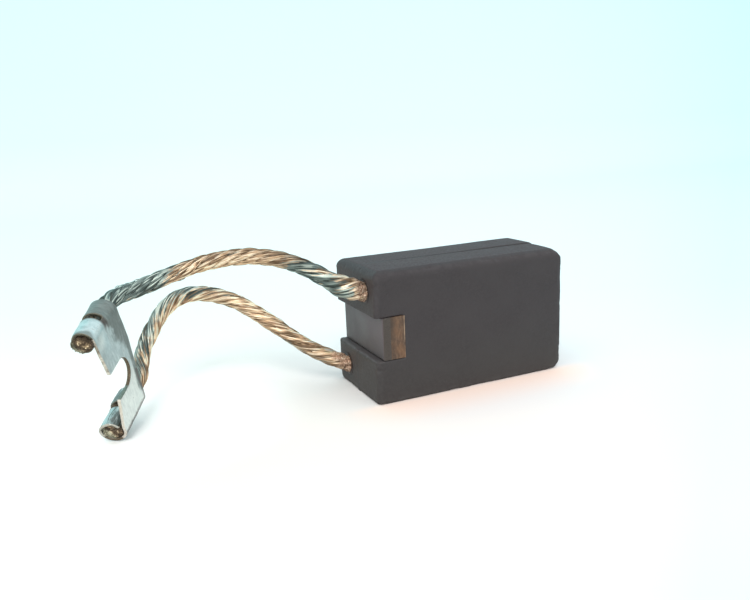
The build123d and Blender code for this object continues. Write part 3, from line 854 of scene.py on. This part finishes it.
# ---------------------------------------------------------------- cut wire ends in the barrels
def wire_ends(name, v_axis, seed, key, sink, depth, painted_glint, fill, bulge=0.0, tuck=0.0):
    r = np.random.default_rng(seed)
    parts = []
    step = 0.185
    rv, rw = 1.02 * fill, 1.27 * fill

    def end_at(v, w):
        height = 0.5 + 0.5 * noise3(np.array([[v, w, seed]]), 0.9, seed)[0]
        return sink + depth * height + bulge * ((v / rv) ** 2 + (w / rw) ** 2)

    def look_at(v, w):
        # painted highlight: the wire ends are much brighter round one point
        near = math.exp(-((v - painted_glint[0]) ** 2 + (w - painted_glint[1]) ** 2) / 0.06)
        patch = noise3(np.array([[v, w, seed + 3.3]]), 0.75, seed + 1)[0]
        fleck = noise3(np.array([[v, w, seed + 7.7]]), 0.30, seed + 2)[0]
        tone = 0.40 + 0.50 * patch + 0.42 * fleck - 0.20 * smooth(w, 0.1, 0.8) + 0.75 * near
        return tone, smooth(-w - 0.55 * v + 0.35 * patch, 0.15, 0.8)

    def drawn_in(v, w, amount):
        # the bunch is held tight on its outer side only
        return v * (1 - 0.04 * amount), w * (1 - amount * smooth(-w, -0.3, 0.5))

    # the bunch between the tips, drawn in where the claw holds it
    around = np.arange(40) * 2 * math.pi / 40
    verts, looks = [], []
    for u_at, scale in ((1.6, 1.0), (0.5, 1.0), (0.2, 0.5), (None, 1.0), (None, 0.9), (None, 0.78), (None, 0.65), (None, 0.5), (None, 0.35), (None, 0.2), (None, 0.06)):
        spread_at = 1.0 if u_at is not None else scale
        v, w = 0.98 * spread_at * rv * np.cos(around), 0.98 * spread_at * rw * np.sin(around)
        looks += [look_at(a, b) for a, b in zip(v, w)]
        u_here = np.array([end_at(a, b) + 0.05 for a, b in zip(v, w)]) if u_at is None else np.full(40, u_at)
        if u_at is not None:
            v, w = drawn_in(v, w, tuck * scale)
        verts.append(lug_point(u_here, v_axis + v, w))
    faces = []
    for q in range(len(verts) - 1):
        faces += [(q * 40 + i, q * 40 + (i + 1) % 40, (q + 1) * 40 + (i + 1) % 40, (q + 1) * 40 + i) for i in range(40)]
    faces += [tuple((len(verts) - 1) * 40 + i for i in range(40)), tuple(range(39, -1, -1))]
    looks = np.array(looks)
    parts.append((np.vstack(verts), faces, [np.clip(looks[:, 0] - 0.24, 0, 1), looks[:, 1]]))
    for row in range(-8, 9):
        for col in range(-8, 9):
            v = (col + 0.5 * (row % 2)) * step + r.normal(0, 0.015)
            w = row * step * 0.866 + r.normal(0, 0.015)
            if (v / rv) ** 2 + (w / rw) ** 2 > 1:
                continue
            tip = end_at(v, w) + r.uniform(-0.05, 0.035)
            lean = r.normal(0, 0.04, 2)
            k = 8
            a = np.arange(k) * 2 * math.pi / k
            rad = 0.088 * r.uniform(0.85, 1.1)
            ring = []
            for u_at, scale in ((1.6, 1.0), (0.5, 1.0), (tip + 0.05, 1.0), (tip + 0.01, 0.8)):
                f = (1.6 - u_at) / 1.4
                vv, ww = drawn_in(v, w, tuck) if u_at > 0.4 else (v, w)
                ring.append(lug_point(np.full(k, u_at), v_axis + vv + lean[0] * f + rad * scale * np.cos(a), ww + lean[1] * f + rad * scale * np.sin(a)))
            centre = lug_point(tip - 0.005, v_axis + v + lean[0], w + lean[1]).reshape(1, 3)
            vv, ww = drawn_in(v, w, tuck)
            base = lug_point(1.6, v_axis + vv, ww).reshape(1, 3)
            verts = np.vstack(ring + [centre, base])
            faces = []
            for q in range(3):
                faces += [(q * k + i, q * k + (i + 1) % k, (q + 1) * k + (i + 1) % k, (q + 1) * k + i) for i in range(k)]
            faces += [(4 * k, 3 * k + i, 3 * k + (i + 1) % k) for i in range(k)]
            faces += [(4 * k + 1, (i + 1) % k, i) for i in range(k)]
            tone, grey = look_at(v, w)
            tone = float(np.clip(tone + 0.22 * r.uniform(-1, 1), 0, 1))
            parts.append((verts, faces, [np.full(len(verts), tone), np.full(len(verts), grey)]))
    verts, faces, attrs = joined(parts)
    dv, dw = lean_of(verts, key)
    verts = verts + dv[:, None] * V + dw[:, None] * W
    ob = make(name, verts, faces, [CUT], attrs={"wire": attrs[0], "grey": attrs[1]}, shade_smooth=False)
    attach(ob, "root")
    return ob


ends_upper = wire_ends("wire_ends_upper", SPACING, 31, "upper", -0.44, 0.26, (0.40, -0.12), 1.12, bulge=0.26, tuck=0.36)
ends_lower = wire_ends("wire_ends_lower", 0.0, 37, "lower", -0.10, 0.30, (-0.05, -0.40), 1.16)


# ---------------------------------------------------------------- terminal sheet
HALF = 0.25           # half the sheet
MV, MW = 1.35, 1.60   # half sizes of the rolled claw's middle line


def arc_table():
    phi = np.linspace(0, math.radians(325), 1200)
    v, w = -MV * np.sin(phi), MW * np.cos(phi)
    s = np.r_[0, np.cumsum(np.hypot(np.diff(v), np.diff(w)))]
    return phi, s


PHI, ARC = arc_table()


def reach(degrees):
    return float(np.interp(math.radians(degrees), PHI, ARC))


def rounded(poly, radii):
    """Outline with its corners rounded, as a punch leaves them."""
    out = []
    n = len(poly)
    for i in range(n):
        a, b, c = (np.array(poly[(i + k) % n], float) for k in (-1, 0, 1))
        r = radii[i]
        if r <= 0:
            out.append(b)
            continue
        d1, d2 = unit(a - b), unit(c - b)
        half = math.acos(float(np.clip(d1 @ d2, -1, 1))) / 2
        cut = min(r / math.tan(half), 0.45 * np.linalg.norm(a - b), 0.45 * np.linalg.norm(c - b))
        p, q = b + d1 * cut, b + d2 * cut
        for f in np.linspace(0, 1, 5):
            out.append((1 - f) ** 2 * p + 2 * f * (1 - f) * b + f ** 2 * q)
    return out


def fork_outline():
    S = SPACING
    arc = [
        (4.08 + 2.15 * math.cos(t), 6.72 + 2.15 * math.sin(t))
        for t in np.linspace(math.pi / 2, -math.pi / 2, 25)
    ]
    a, b, c, d = reach(320), reach(304), reach(296), reach(302)
    corners = [
        ((0.00, -a), 0.35), ((3.60, -a - 0.1), 0.35), ((3.60, -1.10), 0.25), ((4.70, -1.10), 0.25),
        ((4.70, -b), 0.35), ((7.70, -b - 0.1), 0.35), ((7.70, 0.0), 0), ((7.90, 5.0), 0.8),
        ((8.30, 10.0), 0.8), ((8.00, S), 0), ((7.55, S + c), 0.45), ((4.60, S + c + 0.1), 0.35),
        ((4.60, S + 0.90), 0.25), ((3.70, S + 0.90), 0.25), ((3.70, S + d), 0.35), ((0.35, S + d), 0.35),
        ((0.35, S), 0), ((0.45, 14.0), 0.3), ((1.03, 8.87), 0.16),
    ]
    start = rounded([q for q, _ in corners] + [arc[0], arc[-1], (1.20, 4.57), (0.0, 0.9), (0.0, 0.0)],
                    [r for _, r in corners] + [0, 0, 0.22, 0.5, 0])
    # the slot's arc goes in between its two ends
    full = []
    for q in start:
        full.append(q)
        if np.allclose(q, arc[0]):
            full += [np.array(a) for a in arc[1:-1]]
    return full


def spaced_loop(loop, step):
    out = []
    n = len(loop)
    for i in range(n):
        a, b = np.array(loop[i]), np.array(loop[(i + 1) % n])
        d = np.linalg.norm(b - a)
        k = max(1, int(round(d / step)))
        for j in range(k):
            out.append(a + (b - a) * j / k)
    return np.array(out)


def dist_to_loop(points, loop):
    best = np.full(len(points), 1e9)
    n = len(loop)
    for i in range(n):
        a, b = loop[i], loop[(i + 1) % n]
        d = b - a
        t = np.clip(((points - a) @ d) / max(d @ d, 1e-12), 0, 1)
        best = np.minimum(best, np.linalg.norm(points - (a + t[:, None] * d), axis=1))
    return best


def inside(points, loop):
    x, y = points[:, 0], points[:, 1]
    res = np.zeros(len(points), bool)
    n = len(loop)
    for i in range(n):
        (x1, y1), (x2, y2) = loop[i], loop[(i + 1) % n]
        cond = (y1 > y) != (y2 > y)
        with np.errstate(divide="ignore", invalid="ignore"):
            xi = (x2 - x1) * (y - y1) / (y2 - y1) + x1
        res ^= cond & (x < xi)
    return res


def bent_place(u, s):
    """Flat pattern to the bent sheet's middle line, in the terminal's frame."""
    low, high = s < 0, s > SPACING
    arc = np.where(low, -s, np.where(high, s - SPACING, 0.0))
    # claws are closed a little unevenly, and their tips turn inwards
    tight = 1 + 0.03 * noise1(u + np.where(high, 40.0, 0.0), 2.2, 77)
    phi = np.interp(arc * tight, ARC, PHI)
    inward = 1 - np.where(low, 0.24, 0.10) * smooth(phi, math.radians(245), math.radians(330))
    f = np.clip(1 - u / LENGTH, 0, 1)
    shift_w = np.where(low, -0.12 * f - 0.22 * smooth(u, 4.2, 5.2), np.where(high, 0.27 * f, 0.0))
    shift_v = -0.28 * f * smooth(s, SPACING - 5.0, SPACING)
    half_w = MW - shift_w
    turn = np.where(high, 1.0, -1.0) * MV * np.sin(phi) * inward
    v = np.where(low | high, turn, s) + np.where(high, SPACING, 0.0) + shift_v
    w = shift_w + half_w * np.cos(phi) * np.where(low | high, inward, 1.0)
    return v, w


def bend(uv):
    """Flat pattern point (u, s) to the bent sheet: place, plain-side normal, direction of u and of s."""
    u, s = uv[:, 0], uv[:, 1]
    e = 0.02

    def base(uu, ss):
        v, w = bent_place(uu, ss)
        return lug_point(uu, v, w)

    along_u = unit(base(u + e, s) - base(u - e, s))
    along_s = unit(base(u, s + e) - base(u, s - e))
    normal = unit(np.cross(along_u, along_s))
    v, w = bent_place(u, s)
    # hammered and handled: shallow dents and a slight wave in the web
    q = np.stack([u, v, w], -1)
    dent = 0.050 * noise3(q, 3.6, 51) + 0.030 * noise3(q, 1.5, 53) + 0.012 * noise3(q, 0.7, 55)
    rolled = smooth(np.maximum(-s, s - SPACING), 0.2, 1.2)
    dent = dent * (1 + 0.7 * rolled)
    place = lug_point(u, v, w) + normal * dent[:, None]
    return place, normal, along_u, np.cross(normal, along_u)


def terminal():
    loop = spaced_loop(fork_outline(), 0.2)
    keep = np.r_[True, np.linalg.norm(np.diff(loop, axis=0), axis=1) > 0.03]
    loop = loop[keep]
    n = len(loop)
    gu = np.arange(0.08, 8.5, 0.2)
    gs = np.arange(-reach(320) - 0.2, SPACING + reach(320) + 0.2, 0.2)
    grid = np.array([(a + (0.1 if j % 2 else 0), b) for j, b in enumerate(gs) for a in gu])
    grid = grid[inside(grid, loop)]
    grid = grid[dist_to_loop(grid, loop) > 0.13]
    pts = [tuple(p) for p in np.vstack([loop, grid])]
    from mathutils import Vector
    vs, es, fs, ov, oe, of = delaunay_2d_cdt(
        [Vector(p) for p in pts], [(i, (i + 1) % n) for i in range(n)], [list(range(n))], 1, 1e-6
    )
    flat = np.array([(v.x, v.y) for v in vs])
    origin = [o[0] if o else -1 for o in ov]
    tris = [tuple(f) for f in fs]
    # in-plane outward direction at each outline point
    prev, nxt = np.roll(loop, 1, axis=0), np.roll(loop, -1, axis=0)
    tang = unit(nxt - prev)
    area = 0.5 * np.sum(loop[:, 0] * nxt[:, 1] - nxt[:, 0] * loop[:, 1])
    out2 = np.stack([tang[:, 1], -tang[:, 0]], -1) * (1 if area > 0 else -1)
    place, normal, du, ds = bend(flat)
    lp, ln, lu, ls = bend(loop)
    # the sheet is thinned by the shears along its open ends
    half_flat = HALF - 0.06 * (1 - smooth(flat[:, 0], 0.3, 1.8))
    half_loop = HALF - 0.06 * (1 - smooth(loop[:, 0], 0.3, 1.8))
    outward = unit(out2[:, :1] * lu + out2[:, 1:] * ls)
    er = 0.07
    idx = {o: i for i, o in enumerate(origin) if o >= 0}
    ring_of = np.array([idx[i] for i in range(n)])
    top = place + normal * half_flat[:, None]
    low = place - normal * half_flat[:, None]
    top[ring_of] = lp + ln * half_loop[:, None] - outward * er
    low[ring_of] = lp - ln * half_loop[:, None] - outward * er
    nv_flat = len(flat)
    verts = [top, low]
    faces, face_mat = [], []
    for a, b, c in tris:
        pa, pb, pc = flat[a], flat[b], flat[c]
        ccw = (pb[0] - pa[0]) * (pc[1] - pa[1]) - (pb[1] - pa[1]) * (pc[0] - pa[0]) > 0
        # u cross s is the plain side's normal
        tri = (a, b, c) if ccw else (a, c, b)
        faces.append(tri)
        faces.append(tuple(nv_flat + k for k in (tri[0], tri[2], tri[1])))
        face_mat += [0, 0]
    rings = [ring_of.copy()]
    base = 2 * nv_flat
    burr = 1 + 0.25 * noise1(np.arange(n) * 0.2, 0.9, 61)
    for ang, sign in ((45, 1), (0, 1), (0, -1), (45, -1)):
        a = math.radians(ang)
        shift = -er + er * math.cos(a)
        h = (half_loop - er) + er * math.sin(a)
        pts3 = lp + outward * (shift * burr)[:, None] + ln * (sign * h)[:, None]
        verts.append(pts3)
        rings.append(base + np.arange(n))
        base += n
    rings.append(nv_flat + ring_of)
    ccw_loop = area > 0
    for r1, r2 in zip(rings, rings[1:]):
        for i in range(n):
            j = (i + 1) % n
            q = (r1[i], r1[j], r2[j], r2[i]) if not ccw_loop else (r1[j], r1[i], r2[i], r2[j])
            faces.append(tuple(int(k) for k in q))
            face_mat.append(1)
    verts = np.vstack(verts)
    # maps for the finish, in the flat pattern's own coordinates
    uu = np.r_[flat[:, 0], flat[:, 0], np.tile(loop[:, 0], 4)]
    ss = np.r_[flat[:, 1], flat[:, 1], np.tile(loop[:, 1], 4)]
    back = np.r_[np.zeros(nv_flat), np.ones(nv_flat), np.zeros(2 * n), np.ones(2 * n)]
    S = SPACING
    q = np.stack([uu, ss, back * 7], -1)
    streak = noise3(np.stack([uu / 0.28, ss / 2.6, back * 9], -1), 1.0, 73)
    # on the lower barrel the streaks run along it
    streak = np.where(ss < -0.3, noise3(np.stack([uu / 2.6, ss / 0.34, back * 9], -1), 1.0, 79), streak)
    stain = 0.14 + 0.0 * uu
    # the cord side of the web is dark at its top and clears towards the slot
    bound = 3.75 + (S - ss) * 0.50
    web = smooth(uu - bound + 0.25 * streak + 0.8 * noise3(q, 1.5, 75) + 0.55 * noise3(q, 0.6, 76), -1.9, 2.3) * (0.94 - 0.38 * smooth(S - ss, 1.5, 7.5))
    stain = np.maximum(stain, web * smooth(ss, 7.0, 9.0) * (1 - 0.17 * smooth(ss, S, S + 1.5)))
    stain = np.maximum(stain, smooth(uu + 0.3 * streak, 6.3, 7.4) * smooth(ss, -0.5, 2.0) * (0.82 - 0.26 * smooth(ss, S, S + 1.5)))
    stain = np.maximum(stain, ((ss > S) & (uu > 4.1)) * (0.66 + 0.16 * streak))
    stain = np.maximum(stain, ((ss < -0.9) & (uu > 4.1)) * 0.80)
    stain = np.maximum(stain, back * 0.75)
    # the claw's tip lies in shade and dirt, and so does its root under the web
    stain = np.maximum(stain, ((ss < 0) & (uu < 4.1)) * 0.85 * smooth(-ss, 6.6, 7.6))
    stain = np.maximum(stain, ((ss < 0) & (uu < 4.1)) * (0.48 + 0.16 * streak))
    stain = np.clip(stain + 0.12 * noise3(q, 1.3, 71), 0, 1)
    # a dull, greyer rim at the upper barrel's mouth and down its outer flank
    mouth = (1 - smooth(uu + 0.3 * noise3(q, 0.9, 81), 0.5, 1.7)) * smooth(ss, S - 0.5, S + 1.2)
    flank = smooth(ss + 0.4 * noise3(q, 0.8, 83), S + 2.4, S + 4.0) * (uu < 4.1)
    rim = (1 - smooth(uu + 0.2 * noise3(q, 0.7, 85), 0.55, 1.15)) * smooth(ss, S - 1.8, S - 0.9)
    stain = np.maximum(stain, np.maximum(np.maximum(0.92 * mouth, 0.64 * flank), 0.64 * rim))
    # painted sky reflection: on the web under the upper claw and on the lower claw
    sky_reflection = (1 - smooth(uu, 3.2, 3.8)) * smooth(ss, 10.5, 13.5) * 0.9
    sky_reflection = np.maximum(sky_reflection, ((ss < 0) & (uu < 4.1)) * 0.66)
    sky_reflection = sky_reflection * (1 - back) * (1 - 0.8 * smooth(stain, 0.4, 0.8))
    pale = 0.86 * (1 - smooth(ss, 4.5, 8.0)) * (ss > -0.8) * (1 - back) * (1 - smooth(stain, 0.35, 0.7))
    # painted highlight: a pale spot on the web near the upper barrel's mouth
    pale = np.maximum(pale, 0.7 * np.exp(-((uu - 1.7) / 1.1) ** 2 - ((ss - S + 1.0) / 1.3) ** 2) * (1 - back))
    brown = (1 - smooth(np.abs(uu - 4.10) - 0.35, 0.0, 0.34)) * smooth(ss + 0.35 * streak, S - 0.7, S + 0.5)
    brown = np.maximum(brown, (1 - smooth(np.abs(uu - 4.15) - 0.45, 0.0, 0.3)) * (1 - smooth(ss, -1.3, -0.8)))
    # painted shade: a dark line along the web's right border, below the slot
    brown = np.maximum(brown * 0.85, smooth(uu, 7.12, 7.42) * (ss < 5.0) * (ss > -1.5) * 0.75)
    # a dark line along the lower bend
    brown = np.maximum(brown, smooth(0.16 - ss + 0.10 * streak, 0.0, 0.22) * smooth(-ss, 2.6, 1.8) * 0.74)
    edge_dark = np.full_like(uu, 0.22)
    edge_dark = np.maximum(edge_dark, (uu > 7.4) * 0.95)
    round_end = np.hypot(uu - 4.08, ss - 6.72) < 2.35
    edge_dark = np.maximum(edge_dark, (round_end & (uu > 4.0)) * 1.0)
    edge_dark = np.maximum(edge_dark, ((uu > 1.1) & (uu < 4.2) & (np.abs(ss - 8.87) < 0.2)) * 0.75)
    edge_dark = np.maximum(edge_dark, ((uu < 1.2) & (ss > 8.8) & (ss < 14.9)) * 0.45)
    edge_dark = np.maximum(edge_dark, ((uu > 3.3) & (uu < 5.0) & ((ss < -1) | (ss > S + 0.5))) * 1.0)
    edge_dark = np.maximum(edge_dark, (ss > S + 0.6) * 0.86)
    edge_dark = np.maximum(edge_dark, smooth(-ss, 0.6, 1.6) * smooth(-ss, 4.4, 3.2) * 0.95)
    edge_dark = np.maximum(edge_dark, (ss < -4.8) * np.clip(0.27 + 0.11 * (-ss - 4.8) + 0.45 * noise3(q, 0.8, 87), 0.2, 0.95))
    edge_tin = ((uu > 1.35) & (uu < 4.2) & (np.abs(ss - 4.57) < 0.2)) * 1.0
    edge_tin = np.maximum(edge_tin, (ss > S + 0.8) * 0.35)
    edge_tin = np.maximum(edge_tin, smooth(-ss, 3.0, 4.2) * 0.35)
    ob = make(
        "terminal_sheet", verts, faces, [TIN, EDGE], face_mat,
        {"u_mm": uu, "v_mm": ss, "stain": stain, "sky_reflection": sky_reflection, "pale": pale, "brown": brown, "edge_dark": edge_dark,
         "edge_tin": edge_tin},
    )
    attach(ob, "root")
    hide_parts("terminal_lug")
    return ob


lug = terminal()


# ---------------------------------------------------------------- copper powder round each shunt
def collar(node, name, hole, line, seed, flare, height):
    """A rough ring of tamped powder that closes the hole and creeps a little way up the shunt."""
    T, N, B = turned_frames(line, start=(0, 0, 1))
    s = np.r_[0, np.cumsum(np.linalg.norm(np.diff(line, axis=0), axis=1))]
    k = 84
    a = np.arange(k) * 2 * math.pi / k
    face = np.array([-16.5, hole[0], hole[1]])
    rings = []
    inner = 1.02 + flare
    # (distance out of the face, radius): up the hole's wall, over the mound, down beside the shunt
    # the powder fills the hole to the face, and only a low ring of it stands round the shunt
    neck = 1.2 * (1 + 0.5 * flare)
    prof = [(-3.0, 1.74), (-1.5, 1.745), (-0.2, 1.75), (0.012, 1.745), (0.02, 1.70), (0.03, neck + 0.16), (0.06, neck + 0.10),
            (0.45 * height, neck + 0.06), (0.8 * height, neck + 0.01), (height, neck - 0.06), (0.9 * height, neck - 0.14),
            (0.3, 1.0), (0.0, 0.95), (-1.5, 0.95), (-3.0, 0.95)]
    for d, r in prof:
        if d <= 0:
            centre, n_, b_ = face + np.array([-d, 0, 0]), np.array([0, 0, 1.0]), np.array([0, 1.0, 0])
        else:
            i = int(np.searchsorted(s, d))
            f = smooth(d, 0.0, 0.6)
            centre = face * (1 - f) + line[i] * f + np.array([-d, 0, 0]) * (1 - f)
            n_ = unit(np.array([0, 0, 1.0]) * (1 - f) + N[i] * f)
            b_ = unit(np.array([0, 1.0, 0]) * (1 - f) - B[i] * f)
        rings.append(centre + r * (np.cos(a)[:, None] * n_ + np.sin(a)[:, None] * b_))
    pts = np.array(rings)
    m = len(prof)
    # rings between the given ones, so that grains have points of their own
    fine = []
    for i in range(m - 1):
        for f in np.linspace(0, 1, 5)[:-1]:
            fine.append(pts[i] * (1 - f) + pts[i + 1] * f)
    fine.append(pts[-1])
    pts = np.array(fine)
    m = len(pts)
    flat = pts.reshape(-1, 3)
    dn = unit(np.gradient(pts, axis=0))
    around = unit(np.roll(pts, -1, axis=1) - np.roll(pts, 1, axis=1))
    nrm = unit(np.cross(dn, around)).reshape(-1, 3)
    axis_c = face + np.array([0.0, 0, 0])
    radial = flat - axis_c
    radial[:, 0] = 0
    outside = (flat[:, 0] < -16.45)
    sign = np.where((nrm * radial).sum(-1) > 0, 1.0, -1.0)
    bumps = 0.075 * noise3(flat, 0.30, seed) + 0.055 * noise3(flat, 0.16, seed + 1) + 0.05 * noise3(flat, 0.7, seed + 2)
    rise = -16.5 - flat[:, 0]
    flat = flat + nrm * (sign * bumps * outside * (0.12 + 0.88 * smooth(rise, 0.02, 0.2)))[:, None]
    dirt = 1 - smooth(rise + 0.08 * noise3(flat, 0.5, seed + 3), 0.04, 0.24)
    i = np.arange(m - 1)[:, None] * k
    j = np.arange(k)[None, :]
    jn = (j + 1) % k
    quads = np.stack([i + j, i + jn, i + k + jn, i + k + j], -1).reshape(-1, 4).tolist()
    # the last ring joins the first one inside the hole
    last = (m - 1) * k
    quads += [[last + x, last + (x + 1) % k, (x + 1) % k, x] for x in range(k)]
    ob = make(name, flat, quads, [POWDER], attrs={"dirt": dirt})
    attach(ob, "root")
    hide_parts(node)
    return ob


collar_upper = collar("tamping_plug_upper", "powder_collar_upper", (-3.75, 16.65), u_line, 101, 0.36, 0.60)
collar_lower = collar("tamping_plug_lower", "powder_collar_lower", (3.75, 3.35), l_line, 131, 0.05, 0.45)

# ---------------------------------------------------------------- floor, backdrop and light
def floor_material():
    t = Tree("floor")
    pos = t.n.new("ShaderNodeNewGeometry").outputs["Position"]
    x, y, z = t.xyz(pos)
    # warm white in front, cooler with the distance and towards both sides
    px, py = t.math("ADD", x, 0.0553), t.math("ADD", y, 0.0951)
    ahead = t.math("MAXIMUM", t.math("ADD", t.math("MULTIPLY", px, 0.4059), t.math("MULTIPLY", py, 0.9139)), 0.03)
    aside = t.math("DIVIDE", t.math("SUBTRACT", t.math("MULTIPLY", px, 0.9139), t.math("MULTIPLY", py, 0.4059)), ahead)
    rise = t.math("DIVIDE", t.math("SUBTRACT", z, 0.0398), ahead)
    colour = t.ramp(t.math("ADD", rise, 0.8), [
        (0.02, (0.790, 0.760, 0.725)), (0.18, (0.815, 0.760, 0.720)), (0.30, (0.806, 0.755, 0.715)), (0.37, (0.800, 0.755, 0.745)),
        (0.44, (0.795, 0.765, 0.780)), (0.50, (0.738, 0.770, 0.790)), (0.56, (0.700, 0.770, 0.795)), (0.63, (0.681, 0.770, 0.800)),
        (0.68, (0.664, 0.765, 0.800)), (0.74, (0.626, 0.760, 0.800)), (0.80, (0.562, 0.745, 0.790)), (0.88, (0.534, 0.735, 0.785)),
        (0.97, (0.517, 0.735, 0.785)),
    ])
    across = t.ramp(t.math("MULTIPLY", t.math("ADD", aside, 0.6), 0.85), [
        (0.068, (0.964, 1, 0.955)), (0.187, (0.975, 1, 0.950)), (0.323, (1.0, 1, 0.955)), (0.4675, (1.0, 1, 0.98)),
        (0.612, (1.0, 1, 1)), (0.7225, (0.984, 1, 1)), (0.833, (0.940, 1, 1)), (0.952, (0.859, 1, 1)),
    ])
    colour = t.mix(1.0, colour, across, "MULTIPLY")
    # painted shade: a warm contact shade on the floor along the block's front
    along = t.math("MAXIMUM", t.math("SUBTRACT", t.math("ABSOLUTE", x), 0.0145), 0.0)
    before = t.math("MINIMUM", t.math("ADD", y, 0.0075), 0.0)
    apart = t.math("SQRT", t.math("ADD", t.math("MULTIPLY", along, along), t.math("MULTIPLY", before, before)))
    warm_contact_shade = t.math("MULTIPLY", t.span(apart, 0.0095, 0.0, 0.0, 0.9), t.span(y, -0.006, -0.0085))
    colour = t.mix(warm_contact_shade, colour, (0.950, 0.735, 0.640))
    # painted light: the floor is whiter behind the terminal, to lift its shadow
    ex, ey = t.math("SUBTRACT", x, -0.0459), t.math("SUBTRACT", y, 0.0063)
    apart = t.math("SQRT", t.math("ADD", t.math("MULTIPLY", ex, ex), t.math("MULTIPLY", ey, ey)))
    colour = t.mix(t.span(apart, 0.024, 0.008, 0.0, 0.9), colour, (0.955, 0.955, 0.955))
    grain = t.noise(1.5, 3.0)
    return t.finish(colour, 0.85, 0.0, t.bump(grain, 0.05, 0.02), specular=0.1)


def cove():
    """Floor that curves up into the backdrop behind the part."""
    prof = [(-0.6, 0.0), (-0.3, 0.0), (-0.1, 0.0), (0.1, 0.0), (0.3, 0.0)]
    for i in range(1, 25):
        a = math.pi / 2 * i / 24
        prof.append((0.3 + 0.35 * math.sin(a), 0.35 - 0.35 * math.cos(a)))
    prof += [(0.65, 0.6), (0.65, 1.0)]
    xs = np.linspace(-1.2, 1.2, 25)
    verts = [(x, y, z) for (y, z) in prof for x in xs]
    k = len(xs)
    faces = [
        (i * k + j, i * k + j + 1, (i + 1) * k + j + 1, (i + 1) * k + j)
        for i in range(len(prof) - 1) for j in range(k - 1)
    ]
    ob = make("floor", np.array(verts) * 1000.0, faces, [floor_material()])
    return ob


cove()

world = bpy.data.worlds.new("world")
scene.world = world
world.use_nodes = True
bg = world.node_tree.nodes["Background"]
bg.inputs["Color"].default_value = (0.94, 1.0, 1.01, 1.0)
bg.inputs["Strength"].default_value = 1.25


def sun(name, to_light, strength, angle, colour):
    data = bpy.data.lights.new(name, "SUN")
    data.energy = strength
    data.angle = math.radians(angle)
    data.color = colour
    ob = bpy.data.objects.new(name, data)
    scene.collection.objects.link(ob)
    d = unit(to_light)
    zq = d
    xq = unit(np.cross([0, 0, 1.0], zq))
    yq = np.cross(zq, xq)
    mm = Matrix.Identity(4)
    for col, vec in enumerate((xq, yq, zq)):
        for row in range(3):
            mm[row][col] = float(vec[row])
    ob.matrix_world = mm
    return ob


sun("key", (-0.55, -1.05, 1.0), 1.5, 24.0, (1.0, 0.95, 0.90))
